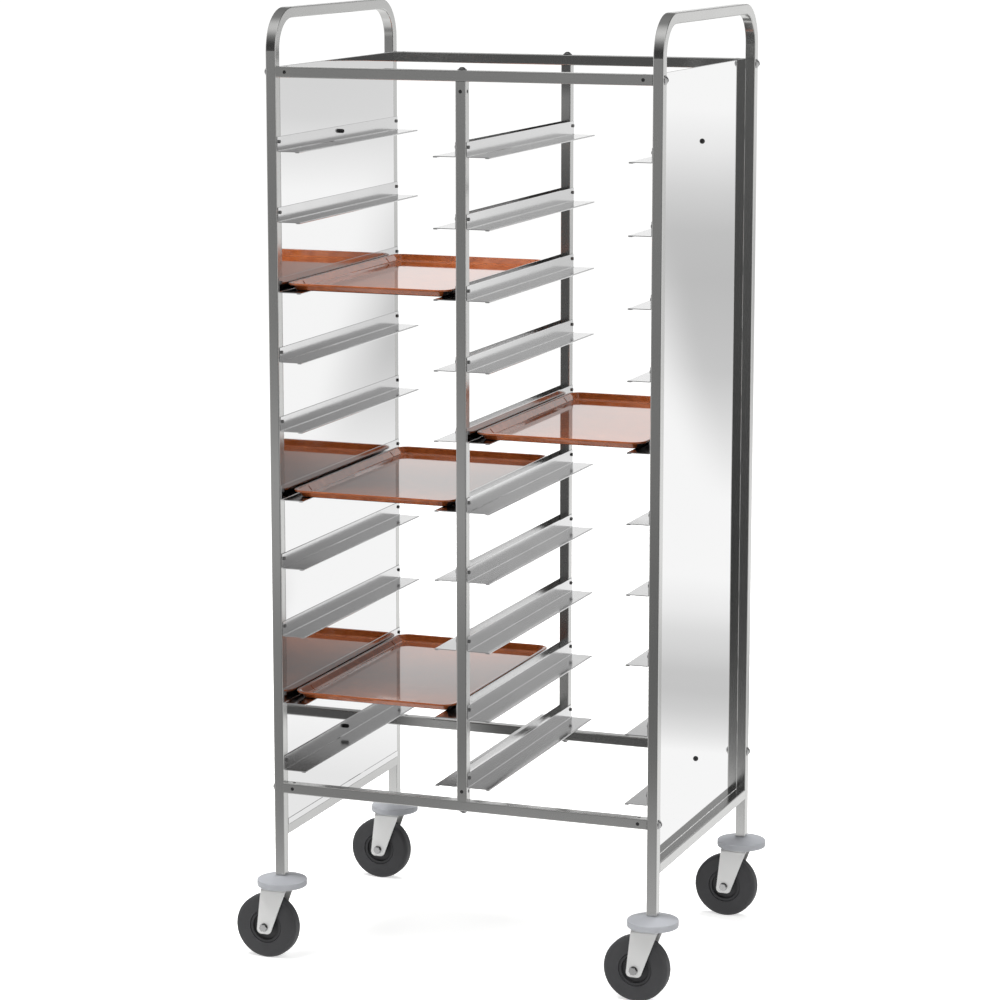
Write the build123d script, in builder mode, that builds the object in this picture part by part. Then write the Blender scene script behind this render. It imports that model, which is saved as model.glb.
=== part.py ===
from build123d import *
import os

os.makedirs("parts", exist_ok=True)

# Tray trolley in millimetres: X runs along it from handle to handle, -Y is the side in front, Z is up.
# The origin is on the floor, in the middle of the area that the trolley covers with its wheels trailing.

# Frame: heights are measured from the feet of the legs, and the bays are sized round the trays
frame_height = 1650.5  # to the upper face of the push handles
handle_rise = 106.0  # push handles above the top rails
handle_bend = 68.0  # radius of the handle's bends, at the middle of the tube
bottom_rail_rise = 183.5  # to the upper faces of the front and rear bottom rails
side_rail_rise = 97.5  # to the upper faces of the bottom side rails
bay_side_room = 13.5  # from a tray in the middle of its bay to the tubes beside it
bay_end_room = 22.5  # from the same tray to the front and rear faces of the legs

# Square tube
tube = 20.0
tube_wall = 1.2
tube_corner = 2.0

# Bolts and end plugs that join the rails and posts
bolt_d = 8.0
bolt_head_d = 14.0
bolt_head_height = 4.4
bolt_socket = 5.0  # across the flats of the hexagon socket
bolt_socket_depth = 2.4
washer_d = 17.0
washer_height = 1.6
bolt_reach = 22.0  # length in the plug
bolt_gap = 0.2  # all round the shank
plug_length = 30.0
plug_gap = 0.1  # to the walls of the tube
peg_d = 6.4
peg_gap = 0.15  # all round a peg in its hole
peg_inset = 18.0  # from the end of the tube
peg_below_face = 0.4

# Tray runners
level_count = 10
runner_top_room = 129.5  # highest runners' upper edges below the tops of the rails
runner_foot_room = 52.5  # lowest runners' upper edges above the bottom rails
runner_height = 27.5
runner_shelf = 45.0
runner_gauge = 1.5
runner_bend = 1.5  # inside radius of the fold
runner_hem = 8.0
runner_end_gap = 3.0  # from the faces of the legs
fixing_drop = 9.0  # screws below the runner's upper edge
screw_flats = 6.0
screw_head_height = 2.4

# Side panels
panel_gauge = 1.0
panel_hem = 11.0
panel_leg_gap = 1.0
panel_foot_gap = 3.0
panel_screw_d = 5.0
panel_screw_gap = 0.1
panel_head_d = 10.0
panel_head_height = 5.0
cap_nut_d = 8.0
cap_nut_height = 9.0
cap_nut_end = 2.5  # closed end of the nut

# Trays
tray_length = 545.0
tray_width = 328.0
tray_height = 14.5
tray_gauge = 2.0
tray_corner = 26.0
tray_slope = 11.0  # how far each side leans out
tray_lip = 4.0  # width of the rim outside the side
tray_lip_height = 3.5
tray_lip_round = 1.2
tray_seat_gap = 0.3  # between a tray and the runners under it

# Casters
wheel_d = 125.0
tyre_width = 30.0
tyre_round = 6.5
tyre_bore_d = 64.0
tyre_bond = 0.05
hub_rim = 6.0
hub_rim_width = 27.0
hub_web = 16.0
hub_boss_d = 24.0
hub_end_gap = 0.5
spacer_d = 12.0
spacer_fit = 0.05
axle_d = 8.0
axle_gap = 0.1
nut_flats = 13.0
nut_height = 6.5
nut_flange_d = 17.0
nut_flange_height = 1.5
axle_tip = 2.0
caster_trail = 30.0
fork_gauge = 2.5
fork_gap = 38.0  # between the two cheeks
fork_fold = 6.0  # outside radius of the folds
fork_half = 15.0  # half the width of a cheek at the axle
fork_foot = 13.0  # cheek below the axle
fork_foot_round = 9.0
fork_tail = 36.0  # cheek behind the swivel, at its top
fork_nose = 16.5  # cheek ahead of the swivel, at its top
wheel_room = 13.6  # from the wheel up to the crown
crown_d = 46.0
cup_d = 43.0
cup_wall = 1.8
cup_height = 3.6
bearing_height = 2.4
bearing_d = 34.0
bearing_bore = 18.0
race_height = 2.2
race_gap = 0.3
cup_gap = 0.7
king_pin_d = 12.0
king_pin_fit = 0.05
king_head_d = 20.0
king_head_height = 3.5
stem_d = 11.0
stem_length = 58.0
stem_gap = 0.1
bumper_d = 96.0
bumper_flat_d = 86.0
bumper_edge = 9.0  # height of the outer band
bumper_bevel = 3.0  # height of the slope below the band
bumper_slope = 9.0  # height of the slope above it
bumper_round = 2.0
bumper_seat_d = 31.0
socket_length = 45.0

# How far each tray stands from the middle of its bay, in X and Y
tray_shifts = {
    "tray_left_upper": (-9.5, -2.5),
    "tray_left_middle": (-5.0, 3.5),
    "tray_left_lower": (-9.5, 15.0),
    "tray_right": (-9.5, 3.5),
}
# What stands on each level, from the top
left_load = ("", "", "tray_left_upper", "", "", "tray_left_middle", "", "", "tray_left_lower")
right_load = ("", "", "", "", "tray_right")

# Places that follow from the sizes above
crown_top = wheel_d + wheel_room + fork_gauge
race_under = crown_top + bearing_height + race_gap
race_top = race_under + race_height
band_foot = race_top + bumper_bevel
band_top = band_foot + bumper_edge
leg_foot = band_top + bumper_slope
handle_top = leg_foot + frame_height
top_rail_top = handle_top - handle_rise
bottom_rail_top = leg_foot + bottom_rail_rise
side_rail_top = leg_foot + side_rail_rise
frame_width = 2 * (tray_width + 2 * bay_side_room) + 3 * tube
frame_depth = tray_length + 2 * bay_end_room
mid_x = (caster_trail + wheel_d / 2 - bumper_d / 2) / 2  # plane between the two side frames
leg_x = (frame_width - tube) / 2  # from that plane to the middle of a leg
leg_y = (frame_depth - tube) / 2
inner_x = leg_x - tube / 2  # inner faces of the legs
inner_y = leg_y - tube / 2
top_rail_z = top_rail_top - tube / 2
bottom_rail_z = bottom_rail_top - tube / 2
runner_half = frame_depth / 2 - runner_end_gap
top_runner_foot = top_rail_top - runner_top_room - runner_height
level_drop = top_runner_foot - (bottom_rail_top + runner_foot_room - runner_height)
runner_feet = [top_runner_foot - level * level_drop / (level_count - 1) for level in range(level_count)]
fixing_rise = runner_height - fixing_drop
panel_fixings = [runner_feet[0] + fixing_rise, runner_feet[-1] + fixing_rise]
axle_z = wheel_d / 2
fork_out = fork_gap / 2 + fork_gauge
across_x = (0, 90, 0)  # turns an upright cylinder along X
across_y = (90, 0, 0)  # turns an upright cylinder along Y


def save(piece, name):
    piece.part.label = name
    export_step(piece.part, f"parts/{name}.step")


def tube_section():
    inside = tube - 2 * tube_wall
    RectangleRounded(tube, tube, tube_corner)
    RectangleRounded(inside, inside, max(tube_corner - tube_wall, tube_wall / 4), mode=Mode.SUBTRACT)


# Side frames: one tube bent into a front leg, a push handle and a rear leg
def side_frame(x):
    handle_z = handle_top - tube / 2
    corners = [(-leg_y, leg_foot), (-leg_y, handle_z), (leg_y, handle_z), (leg_y, leg_foot)]
    with BuildPart() as frame:
        with BuildLine(Plane.YZ.offset(x)):
            FilletPolyline(*corners, radius=handle_bend)
        with BuildSketch(Plane((x, -leg_y, leg_foot))):
            tube_section()
        sweep()
        with Locations(*[(x, y, z) for y in (-leg_y, leg_y) for z in (top_rail_z, bottom_rail_z)]):
            Cylinder(bolt_d / 2 + bolt_gap, 2 * tube, rotation=across_x, mode=Mode.SUBTRACT)
    return frame


save(side_frame(mid_x - leg_x), "left_side_frame")
save(side_frame(mid_x + leg_x), "right_side_frame")


# Bottom side rails, between the legs of a side frame
def side_rail(x):
    with BuildPart() as rail:
        with BuildSketch(Plane.XZ.offset(-inner_y).shift_origin((x, inner_y, side_rail_top - tube / 2))):
            tube_section()
        extrude(amount=2 * inner_y)
    return rail


save(side_rail(mid_x - leg_x), "left_bottom_rail")
save(side_rail(mid_x + leg_x), "right_bottom_rail")


# Front and rear rails, between the side frames, with holes for the end pegs and the post's bolt
def cross_rail(side, z):
    out = side * leg_y
    pegs = [mid_x - inner_x + peg_inset, mid_x + inner_x - peg_inset]
    peg_hole = peg_d / 2 + peg_gap
    with BuildPart() as rail:
        with BuildSketch(Plane((mid_x - inner_x, out, z), (0, 1, 0), (1, 0, 0))):
            tube_section()
        extrude(amount=2 * inner_x)
        with Locations(*[(x, out + side * tube / 2, z) for x in pegs]):
            Cylinder(peg_hole, tube, rotation=across_y, mode=Mode.SUBTRACT)
        with Locations(*[(x, out, z + tube / 2) for x in pegs]):
            Cylinder(peg_hole, tube, mode=Mode.SUBTRACT)
        with Locations((mid_x, out, z)):
            Cylinder(bolt_d / 2 + bolt_gap, 2 * tube, mode=Mode.SUBTRACT)
    return rail


save(cross_rail(-1, top_rail_z), "front_top_rail")
save(cross_rail(1, top_rail_z), "rear_top_rail")
save(cross_rail(-1, bottom_rail_z), "front_bottom_rail")
save(cross_rail(1, bottom_rail_z), "rear_bottom_rail")


# Centre posts, between the bottom and top rails
def centre_post(side):
    out = side * leg_y
    post_top = top_rail_top - tube
    pegs = [bottom_rail_top + peg_inset, post_top - peg_inset]
    peg_hole = peg_d / 2 + peg_gap
    with BuildPart() as post:
        with BuildSketch(Plane((mid_x, out, bottom_rail_top))):
            tube_section()
        extrude(amount=post_top - bottom_rail_top)
        with Locations(*[(mid_x, out + side * tube / 2, z) for z in pegs]):
            Cylinder(peg_hole, tube, rotation=across_y, mode=Mode.SUBTRACT)
        with Locations(*[(mid_x + tube / 2, out, z) for z in pegs]):
            Cylinder(peg_hole, tube, rotation=across_x, mode=Mode.SUBTRACT)
    return post


save(centre_post(-1), "front_centre_post")
save(centre_post(1), "rear_centre_post")

# End plug: its Z runs into the tube, and its pegs snap into the walls at +X and +Y
plug_side = tube - 2 * tube_wall - 2 * plug_gap
with BuildPart() as plug:
    with BuildSketch(Plane.XY):
        RectangleRounded(plug_side, plug_side, tube_corner)
    extrude(amount=plug_length)
    with BuildSketch(Plane.YZ.shift_origin((0, 0, peg_inset))):
        Circle(peg_d / 2)
    with BuildSketch(Plane.ZX.shift_origin((0, 0, peg_inset))):
        Circle(peg_d / 2)
    extrude(amount=tube / 2 - peg_below_face)
    with Locations((0, 0, bolt_reach / 2)):
        Cylinder(bolt_d / 2 + bolt_gap, bolt_reach, mode=Mode.SUBTRACT)

# Bolt with its washer: its Z runs into the joint, and it seats on the face at its origin
with BuildPart() as bolt:
    with BuildSketch(Plane.XZ):
        with BuildLine():
            head_base = (bolt_head_d / 2, -washer_height)
            head_peak = (0, -washer_height - bolt_head_height)
            Polyline(head_peak, (0, tube + bolt_reach), (bolt_d / 2, tube + bolt_reach), (bolt_d / 2, 0))
            Polyline((bolt_d / 2, 0), (washer_d / 2, 0), (washer_d / 2, -washer_height), head_base)
            TangentArc(head_peak, head_base, tangent=(1, 0))
        make_face()
    revolve(axis=Axis.Z)
    with BuildSketch(Plane.XY.offset(-washer_height - bolt_head_height)):
        RegularPolygon(bolt_socket / 2, 6, major_radius=False)
    extrude(amount=bolt_socket_depth, mode=Mode.SUBTRACT)

top_end = top_rail_top - tube
up = (0, 0, 1)
down = (0, 0, -1)
inward = (1, 0, 0)

with BuildPart() as end_plugs:
    with Locations(*[Plane((mid_x - inner_x, -leg_y, z), up, inward) for z in (top_rail_z, bottom_rail_z)]):
        add(plug.part)
    mirror(about=Plane.YZ.offset(mid_x))
    with Locations(Plane((mid_x, -leg_y, bottom_rail_top), (0, -1, 0), up)):
        add(plug.part)
    with Locations(Plane((mid_x, -leg_y, top_end), (1, 0, 0), down)):
        add(plug.part)
    mirror(about=Plane.XZ)
save(end_plugs, "tube_end_plugs")

with BuildPart() as rail_bolts:
    bolt_heights = (top_rail_z, bottom_rail_z)
    with Locations(*[Plane((mid_x - inner_x - tube, -leg_y, z), up, inward) for z in bolt_heights]):
        add(bolt.part)
    mirror(about=Plane.YZ.offset(mid_x))
    mirror(about=Plane.XZ)
save(rail_bolts, "rail_bolts")

with BuildPart() as post_bolts:
    with Locations(Plane((mid_x, -leg_y, top_rail_top), inward, down)):
        add(bolt.part)
    with Locations(Plane((mid_x, -leg_y, bottom_rail_top - tube), inward, up)):
        add(bolt.part)
    mirror(about=Plane.XZ)
save(post_bolts, "post_bolts")


# Runners: strips folded to an L, with the shelf's free edge hemmed under
def runners(face_x, side, pierced):
    nose = runner_shelf - runner_gauge
    hem_start = runner_shelf - runner_hem
    fold = (runner_gauge, runner_gauge)
    with BuildPart() as group:
        for foot in runner_feet:
            with BuildSketch(Plane((face_x, side * runner_half, foot), (side, 0, 0), (0, -side, 0))):
                with BuildLine():
                    Polyline((nose, runner_gauge), fold, (runner_gauge, runner_height))
                    Polyline((runner_gauge, runner_height), (0, runner_height), (0, 0), (hem_start, 0))
                    Polyline((hem_start, 0), (hem_start, -runner_gauge), (nose, -runner_gauge))
                    ThreePointArc((nose, -runner_gauge), (runner_shelf, 0), (nose, runner_gauge))
                make_face()
                fillet(vertices().sort_by_distance(fold)[0], runner_bend)
                fillet(vertices().sort_by_distance((0, 0))[0], runner_bend + runner_gauge)
            extrude(amount=2 * runner_half)
        if pierced:
            with Locations(*[(face_x, 0, z) for z in panel_fixings]):
                hole = panel_screw_d / 2 + panel_screw_gap
                Cylinder(hole, 4 * runner_gauge, rotation=across_x, mode=Mode.SUBTRACT)
    return group


# Each bank of runners: the face that carries it and the way its shelves point
banks = {
    "left_wall_runners": (mid_x - inner_x, 1, True),
    "centre_left_runners": (mid_x - tube / 2, -1, False),
    "centre_right_runners": (mid_x + tube / 2, 1, False),
    "right_wall_runners": (mid_x + inner_x, -1, True),
}
for bank, (face_x, side, pierced) in banks.items():
    save(runners(face_x, side, pierced), bank)

# Hexagon screws at both ends of every runner
with BuildPart() as runner_screws:
    for face_x, side, pierced in banks.values():
        with BuildSketch(Plane((face_x + side * runner_gauge, 0, 0), (0, 1, 0), (side, 0, 0))):
            with Locations(*[(y, side * (z + fixing_rise)) for y in (-leg_y, leg_y) for z in runner_feet]):
                RegularPolygon(screw_flats / 2, 6, major_radius=False)
        extrude(amount=screw_head_height)
save(runner_screws, "runner_screws")


# Side panels: polished sheet between the legs, hemmed along the top and the bottom
def side_panel(face_x, side):
    foot = side_rail_top + panel_foot_gap
    height = top_rail_top - foot
    width = inner_y - panel_leg_gap
    with BuildPart() as panel:
        with BuildSketch(Plane((face_x, side * width, foot), (side, 0, 0), (0, -side, 0))):
            with BuildLine():
                hem_end = height - panel_hem
                fold = height - panel_gauge
                Polyline((0, panel_hem), (0, hem_end), (panel_gauge, hem_end), (panel_gauge, fold))
                ThreePointArc((panel_gauge, fold), (0, height), (-panel_gauge, fold))
                Line((-panel_gauge, fold), (-panel_gauge, panel_gauge))
                ThreePointArc((-panel_gauge, panel_gauge), (0, 0), (panel_gauge, panel_gauge))
                Polyline((panel_gauge, panel_gauge), (panel_gauge, panel_hem), (0, panel_hem))
            make_face()
        extrude(amount=2 * width)
        with Locations(*[(face_x, 0, z) for z in panel_fixings]):
            hole = panel_screw_d / 2 + panel_screw_gap
            Cylinder(hole, 4 * panel_gauge, rotation=across_x, mode=Mode.SUBTRACT)
    return panel


save(side_panel(mid_x - inner_x, 1), "left_side_panel")
save(side_panel(mid_x + inner_x, -1), "right_side_panel")

# Panel screw and cap nut: the screw's Z runs from outside through the panel and a runner
clamped = panel_gauge + runner_gauge
shank_end = clamped + cap_nut_height - cap_nut_end - panel_screw_gap
with BuildPart() as panel_screw:
    with BuildSketch(Plane.XZ):
        with BuildLine():
            edge = (panel_head_d / 2, 0)
            Polyline(edge, (panel_screw_d / 2, 0), (panel_screw_d / 2, shank_end), (0, shank_end))
            Line((0, shank_end), (0, -panel_head_height))
            TangentArc((0, -panel_head_height), edge, tangent=(1, 0))
        make_face()
    revolve(axis=Axis.Z)
with BuildPart() as cap_nut:
    with BuildSketch(Plane.XZ):
        with BuildLine():
            bore = panel_screw_d / 2 + panel_screw_gap
            nut_r = cap_nut_d / 2
            nut_end = clamped + cap_nut_height
            bore_end = nut_end - cap_nut_end
            dome = nut_end - nut_r
            Polyline((bore, bore_end), (bore, clamped), (nut_r, clamped), (nut_r, dome))
            JernArc((nut_r, dome), (0, 1), nut_r, 90)
            Polyline((0, nut_end), (0, bore_end), (bore, bore_end))
        make_face()
    revolve(axis=Axis.Z)
panel_seats = [Plane((mid_x - inner_x - panel_gauge, 0, z), up, inward) for z in panel_fixings]
for name, piece in {"panel_screws": panel_screw, "panel_cap_nuts": cap_nut}.items():
    with BuildPart() as placed:
        with Locations(*panel_seats):
            add(piece.part)
        mirror(about=Plane.YZ.offset(mid_x))
    save(placed, name)


# Trays: a flat floor, sides that lean out and a rolled rim
def tray_outline(inset):
    RectangleRounded(tray_width - 2 * inset, tray_length - 2 * inset, tray_corner - inset)


side_foot = tray_lip + tray_slope
lip_under = tray_height - tray_lip_height
with BuildPart() as tray:
    with BuildSketch(Plane.XY.offset(lip_under)):
        tray_outline(0)
    extrude(amount=tray_lip_height)
    fillet(edges().group_by(Axis.Z)[-1] + edges().group_by(Axis.Z)[0], tray_lip_round)
    with BuildSketch(Plane.XY):
        tray_outline(side_foot)
    with BuildSketch(Plane.XY.offset(tray_height)):
        tray_outline(tray_lip)
    loft(ruled=True)
    with BuildSketch(Plane.XY.offset(tray_gauge)):
        tray_outline(side_foot + tray_gauge)
    with BuildSketch(Plane.XY.offset(tray_height)):
        tray_outline(tray_lip + tray_gauge)
    loft(ruled=True, mode=Mode.SUBTRACT)

bay_middle = tube / 2 + (inner_x - tube / 2) / 2
for bay_x, load in ((mid_x - bay_middle, left_load), (mid_x + bay_middle, right_load)):
    for name, foot in zip(load, runner_feet):
        if name:
            shift_x, shift_y = tray_shifts[name]
            with BuildPart() as placed:
                with Locations((bay_x + shift_x, shift_y, foot + runner_gauge + tray_seat_gap)):
                    add(tray.part)
            save(placed, name)

# Casters, modelled about the swivel's axis with the wheel trailing towards -X

# Rubber bumper disc, which the leg stands on
with BuildPart() as bumper:
    with BuildSketch(Plane.XZ):
        with BuildLine():
            bore = stem_d / 2 + stem_gap
            rim = bumper_d / 2
            Polyline((bore, race_top), (bumper_flat_d / 2, race_top), (rim, band_foot), (rim, band_top))
            Polyline((rim, band_top), (bumper_seat_d / 2, leg_foot), (bore, leg_foot), (bore, race_top))
        make_face()
    revolve(axis=Axis.Z)
    band_middle = band_foot + bumper_edge / 2
    band_reach = bumper_edge / 2 + bumper_round
    band_edges = edges().filter_by(lambda edge: abs(edge.center().Z - band_middle) < band_reach)
    fillet(band_edges, bumper_round)

# Stem with the upper race and the king pin riveted over under the fork's crown
crown_under = crown_top - fork_gauge
with BuildPart() as stem:
    with BuildSketch(Plane.XZ):
        with BuildLine():
            king_top = crown_under - race_gap
            king_r = king_pin_d / 2
            race_r = cup_d / 2 - cup_wall - cup_gap
            stem_r = stem_d / 2
            stem_top = race_top + stem_length
            head_edge = (king_head_d / 2, king_top)
            head_foot = (0, king_top - king_head_height)
            Polyline(head_edge, (king_r, king_top), (king_r, race_under), (race_r, race_under))
            Polyline((race_r, race_under), (race_r, race_top), (stem_r, race_top), (stem_r, stem_top))
            Polyline((stem_r, stem_top), (0, stem_top), head_foot)
            TangentArc(head_foot, head_edge, tangent=(1, 0))
        make_face()
    revolve(axis=Axis.Z)

with BuildPart() as bearing:
    with BuildSketch(Plane.XY.offset(crown_top)):
        Circle(bearing_d / 2)
        Circle(bearing_bore / 2, mode=Mode.SUBTRACT)
    extrude(amount=bearing_height)

# Fork: sheet folded to a U, cut to its side outline, with a round crown and the bearing's cup
with BuildPart() as fork:
    with BuildSketch(Plane.YZ.offset(-caster_trail - fork_half - fork_tail)):
        with Locations((0, crown_top / 2)):
            Rectangle(2 * fork_out, crown_top)
        fillet(vertices().group_by(Axis.Y)[-1], fork_fold)
        with BuildLine():
            inner = fork_gap / 2
            inside = [(-inner, 0), (-inner, crown_under), (inner, crown_under), (inner, 0)]
            FilletPolyline(*inside, radius=fork_fold - fork_gauge)
            Line((inner, 0), (-inner, 0))
        make_face(mode=Mode.SUBTRACT)
    extrude(amount=2 * (caster_trail + fork_half + fork_tail))
    with BuildSketch(Plane.XZ.offset(fork_out)):
        with BuildLine():
            foot_out = fork_half - fork_foot_round
            foot_z = axle_z - fork_foot + fork_foot_round
            CenterArc((-caster_trail - foot_out, foot_z), fork_foot_round, 0, 360)
            CenterArc((-caster_trail + foot_out, foot_z), fork_foot_round, 0, 360)
            Line((-fork_tail, crown_top), (fork_nose, crown_top))
        make_hull()
    extrude(amount=-2 * fork_out, mode=Mode.INTERSECT)
    with Locations((0, 0, crown_top - fork_gauge / 2)):
        Cylinder(crown_d / 2, fork_gauge)
    with BuildSketch(Plane.XY.offset(crown_top)):
        Circle(cup_d / 2)
        Circle(cup_d / 2 - cup_wall, mode=Mode.SUBTRACT)
    extrude(amount=cup_height)
    with Locations((0, 0, crown_top)):
        Cylinder(king_pin_d / 2 + king_pin_fit, 2 * tube, mode=Mode.SUBTRACT)
    with Locations((-caster_trail, 0, axle_z)):
        Cylinder(axle_d / 2 + axle_gap, 4 * fork_out, rotation=across_y, mode=Mode.SUBTRACT)


# Wheel: profiles turned about the axle, drawn with the radius along X and the width along Y
def turned(profile):
    with BuildPart() as piece:
        with BuildSketch(Plane((-caster_trail, 0, axle_z), up, (-1, 0, 0))):
            profile()
        revolve(axis=Axis((-caster_trail, 0, axle_z), (0, 1, 0)))
    return piece


def band(inner_d, outer_d, width, mode=Mode.ADD):
    with Locations(((inner_d + outer_d) / 4, 0)):
        Rectangle((outer_d - inner_d) / 2, width, mode=mode)


def tyre_profile():
    band(tyre_bore_d, wheel_d, tyre_width)
    fillet(vertices().group_by(Axis.X)[-1], tyre_round)


def hub_profile():
    hub_d = tyre_bore_d - 2 * tyre_bond
    bore_d = spacer_d + 2 * spacer_fit
    band(bore_d, hub_d, hub_web)
    band(hub_d - 2 * hub_rim, hub_d, hub_rim_width)
    band(bore_d, hub_boss_d, fork_gap - 2 * hub_end_gap)


def spacer_profile():
    band(axle_d + 2 * axle_gap, spacer_d, fork_gap)


tyre = turned(tyre_profile)
hub = turned(hub_profile)
spacer = turned(spacer_profile)

# Axle bolt with a flanged head in front and a flanged nut behind
with BuildPart() as axle:
    for side in (-1, 1):
        cheek = Plane((-caster_trail, side * fork_out, axle_z), inward, (0, side, 0))
        with BuildSketch(cheek):
            Circle(nut_flange_d / 2)
        extrude(amount=nut_flange_height)
        with BuildSketch(cheek):
            RegularPolygon(nut_flats / 2, 6, major_radius=False)
        extrude(amount=nut_height)
    with Locations(Plane((-caster_trail, fork_out, axle_z), inward, (0, 1, 0))):
        Cylinder(axle_d / 2 + axle_gap, 2 * nut_height, mode=Mode.SUBTRACT)
    with BuildSketch(Plane((-caster_trail, -fork_out, axle_z), inward, (0, 1, 0))):
        Circle(axle_d / 2)
    extrude(amount=2 * fork_out + nut_height + axle_tip)

casters = {
    "bumper": bumper,
    "caster_stem": stem,
    "swivel_bearing": bearing,
    "caster_fork": fork,
    "axle_bolt": axle,
    "axle_spacer": spacer,
    "wheel_hub": hub,
    "wheel_tyre": tyre,
}
legs = {
    "front_left": (mid_x - leg_x, -leg_y),
    "front_right": (mid_x + leg_x, -leg_y),
    "rear_left": (mid_x - leg_x, leg_y),
    "rear_right": (mid_x + leg_x, leg_y),
}
for corner, (x, y) in legs.items():
    for name, piece in casters.items():
        with BuildPart() as placed:
            with Locations((x, y, 0)):
                add(piece.part)
        save(placed, f"{name}_{corner}")

# Sockets in the feet of the legs, which grip the stems
with BuildPart() as sockets:
    with BuildSketch(Plane.XY.offset(leg_foot)):
        with Locations(*legs.values()):
            RectangleRounded(plug_side, plug_side, tube_corner)
            Circle(stem_d / 2 + stem_gap, mode=Mode.SUBTRACT)
    extrude(amount=socket_length)
save(sockets, "leg_sockets")
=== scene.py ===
import bmesh
import bpy
import math
from mathutils import Matrix, Vector


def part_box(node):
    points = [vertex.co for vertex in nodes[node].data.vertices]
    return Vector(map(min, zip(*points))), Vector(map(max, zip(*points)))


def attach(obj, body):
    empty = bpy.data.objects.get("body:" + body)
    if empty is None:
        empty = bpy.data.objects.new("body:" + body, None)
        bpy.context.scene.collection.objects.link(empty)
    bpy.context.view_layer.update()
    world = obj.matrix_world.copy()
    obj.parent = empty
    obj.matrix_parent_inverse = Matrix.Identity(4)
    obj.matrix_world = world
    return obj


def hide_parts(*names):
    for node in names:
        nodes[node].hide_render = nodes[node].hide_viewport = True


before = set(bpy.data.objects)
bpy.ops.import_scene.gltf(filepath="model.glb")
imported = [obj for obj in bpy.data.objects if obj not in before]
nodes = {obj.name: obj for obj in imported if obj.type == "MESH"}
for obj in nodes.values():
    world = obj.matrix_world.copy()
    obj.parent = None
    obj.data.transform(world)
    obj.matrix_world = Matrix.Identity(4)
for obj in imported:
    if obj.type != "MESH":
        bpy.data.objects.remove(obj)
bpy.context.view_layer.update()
corners = ["front_left", "front_right", "rear_left", "rear_right"]
trayNames = ["tray_left_upper", "tray_left_middle", "tray_left_lower", "tray_right"]
mm = 0.001  # the scene is in metres, and the patterns of the finishes are sized in millimetres
print("frame loaded:", len(nodes), "nodes")


# Materials
def linearColor(hexText):  # sRGB hex to the linear values that shaders take
    values = [int(hexText[i:i + 2], 16) / 255 for i in (1, 3, 5)]
    return [v / 12.92 if v <= 0.04045 else ((v + 0.055) / 1.055) ** 2.4 for v in values] + [1.0]


def addNode(tree, kind, settings={}, inputs={}):  # inputs are values, or sockets to link
    node = tree.nodes.new(kind)
    for name, value in settings.items():
        setattr(node, name, value)
    for name, value in inputs.items():
        if isinstance(value, bpy.types.NodeSocket):
            tree.links.new(value, node.inputs[name])
        else:
            node.inputs[name].default_value = value
    return node


def startMaterial(name):
    material = bpy.data.materials.new(name)
    material.use_nodes = True
    material.node_tree.nodes.clear()
    return material, material.node_tree


def endMaterial(tree, shader):
    addNode(tree, "ShaderNodeOutputMaterial", {}, {"Surface": shader})


def setRamp(node, stops):  # stops are (place, linear grey or colour)
    ramp = node.color_ramp
    while len(ramp.elements) < len(stops):
        ramp.elements.new(0.5)
    for element, (place, value) in zip(ramp.elements, stops):
        element.position = place
        element.color = value if isinstance(value, list) else (value, value, value, 1)


def dress(material, *names):
    for name in names:
        mesh = nodes[name].data
        mesh.materials.clear()
        mesh.materials.append(material)


# grain is the width of a grinding line, drawn coarser than real so that it shows, and run is its length
tubeSteel = dict(color="#d3d3d1", shade="#cbcbca", roughness=0.18, spread=0.025, grain=1.1 * mm,
                 grainDetail=2.0, run=120 * mm, cloud=111 * mm, cloudDetail=3.0)


def satinStainless(name, lengthwise):  # lengthwise lists the axes that the grinding lines run along
    # stainless tube, belt-ground along its length: soft streaked reflections, no clear image
    material, tree = startMaterial(name)
    coords = addNode(tree, "ShaderNodeTexCoord")
    fine = 1 / tubeSteel["grain"]
    run = 1 / tubeSteel["run"]
    scale = [run if i in lengthwise else fine for i in range(3)]
    mapping = addNode(tree, "ShaderNodeMapping", {}, {"Vector": coords.outputs["Object"], "Scale": scale})
    grain = addNode(tree, "ShaderNodeTexNoise", {},
                    {"Vector": mapping.outputs[0], "Scale": 1.0, "Detail": tubeSteel["grainDetail"]})
    cloud = addNode(tree, "ShaderNodeTexNoise", {},
                    {"Vector": coords.outputs["Object"], "Scale": 1 / tubeSteel["cloud"],
                     "Detail": tubeSteel["cloudDetail"]})
    tone = addNode(tree, "ShaderNodeMix", {"data_type": "RGBA"},
                   {"Factor": cloud.outputs["Fac"], "A": linearColor(tubeSteel["color"]),
                    "B": linearColor(tubeSteel["shade"])})
    rough = addNode(tree, "ShaderNodeMapRange", {},
                    {"Value": grain.outputs["Fac"], "To Min": tubeSteel["roughness"] - tubeSteel["spread"],
                     "To Max": tubeSteel["roughness"] + tubeSteel["spread"]})
    shader = addNode(tree, "ShaderNodeBsdfPrincipled", {},
                     {"Base Color": tone.outputs["Result"], "Metallic": 1.0,
                      "Roughness": rough.outputs["Result"]})
    endMaterial(tree, shader.outputs[0])
    return material


alongX = satinStainless("satin stainless tube, ground along X", [0])
alongY = satinStainless("satin stainless tube, ground along Y", [1])
alongZ = satinStainless("satin stainless tube, ground along Z", [2])
legSteel = satinStainless("satin stainless tube, bent side frame", [1, 2])
dress(alongX, "front_top_rail", "rear_top_rail", "front_bottom_rail", "rear_bottom_rail")
dress(alongY, "left_bottom_rail", "right_bottom_rail")
dress(alongZ, "front_centre_post", "rear_centre_post")
dress(legSteel, "left_side_frame", "right_side_frame")

# haze is the size of the patches in which roughness drifts, between least and most of its value
sheetSkin = dict(haze=71.4 * mm, hazeDetail=4.0, least=0.8, most=1.2, waveDetail=0.0)


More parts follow.
